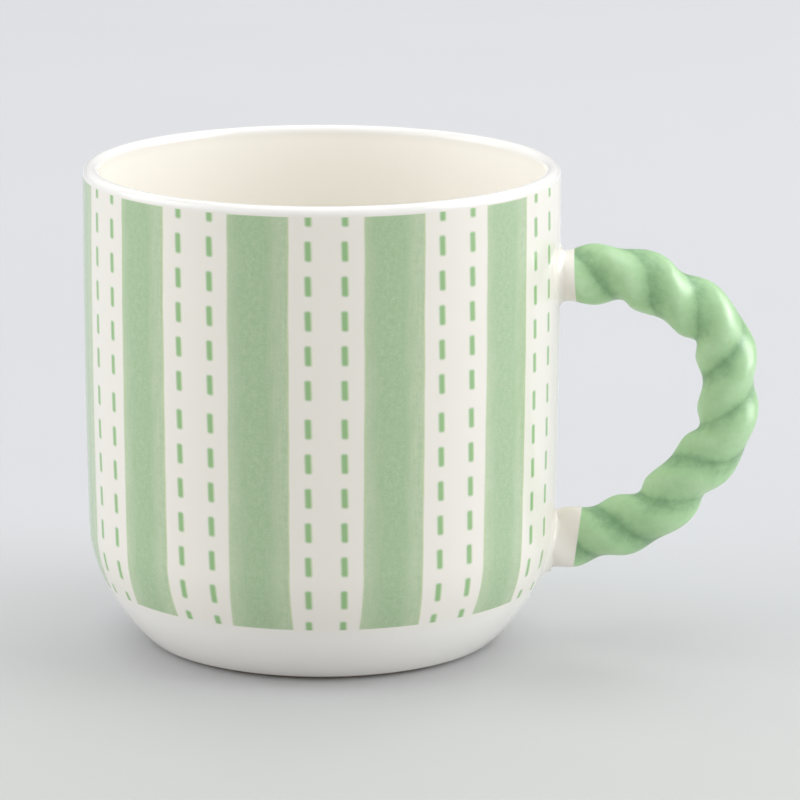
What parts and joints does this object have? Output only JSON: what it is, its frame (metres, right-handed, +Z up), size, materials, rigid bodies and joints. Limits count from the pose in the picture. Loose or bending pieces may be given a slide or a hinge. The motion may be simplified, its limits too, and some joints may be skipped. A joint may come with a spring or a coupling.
{
  "type": "stoneware mug",
  "caption": "Straight round-bottomed stoneware mug with a twisted rope handle of two clay coils, set on with slip.",
  "frame": {"origin": "centre of the mug's bounding box on the plane it stands on; the cup's own axis is 18.7 mm towards -X", "axes": "+Z up, out of the cup's mouth; +X towards the handle"},
  "size_m": [0.1266, 0.0892, 0.0904],
  "materials": {
    "white_glaze": "gloss",
    "green_glaze": "gloss",
    "slip_glaze": "gloss"
  },
  "bodies": {
    "root": {"cup_body": "white_glaze", "handle_strand_1": "green_glaze", "handle_strand_2": "green_glaze", "upper_slip_joint": "slip_glaze", "lower_slip_joint": "slip_glaze"}
  },
  "joints": []
}
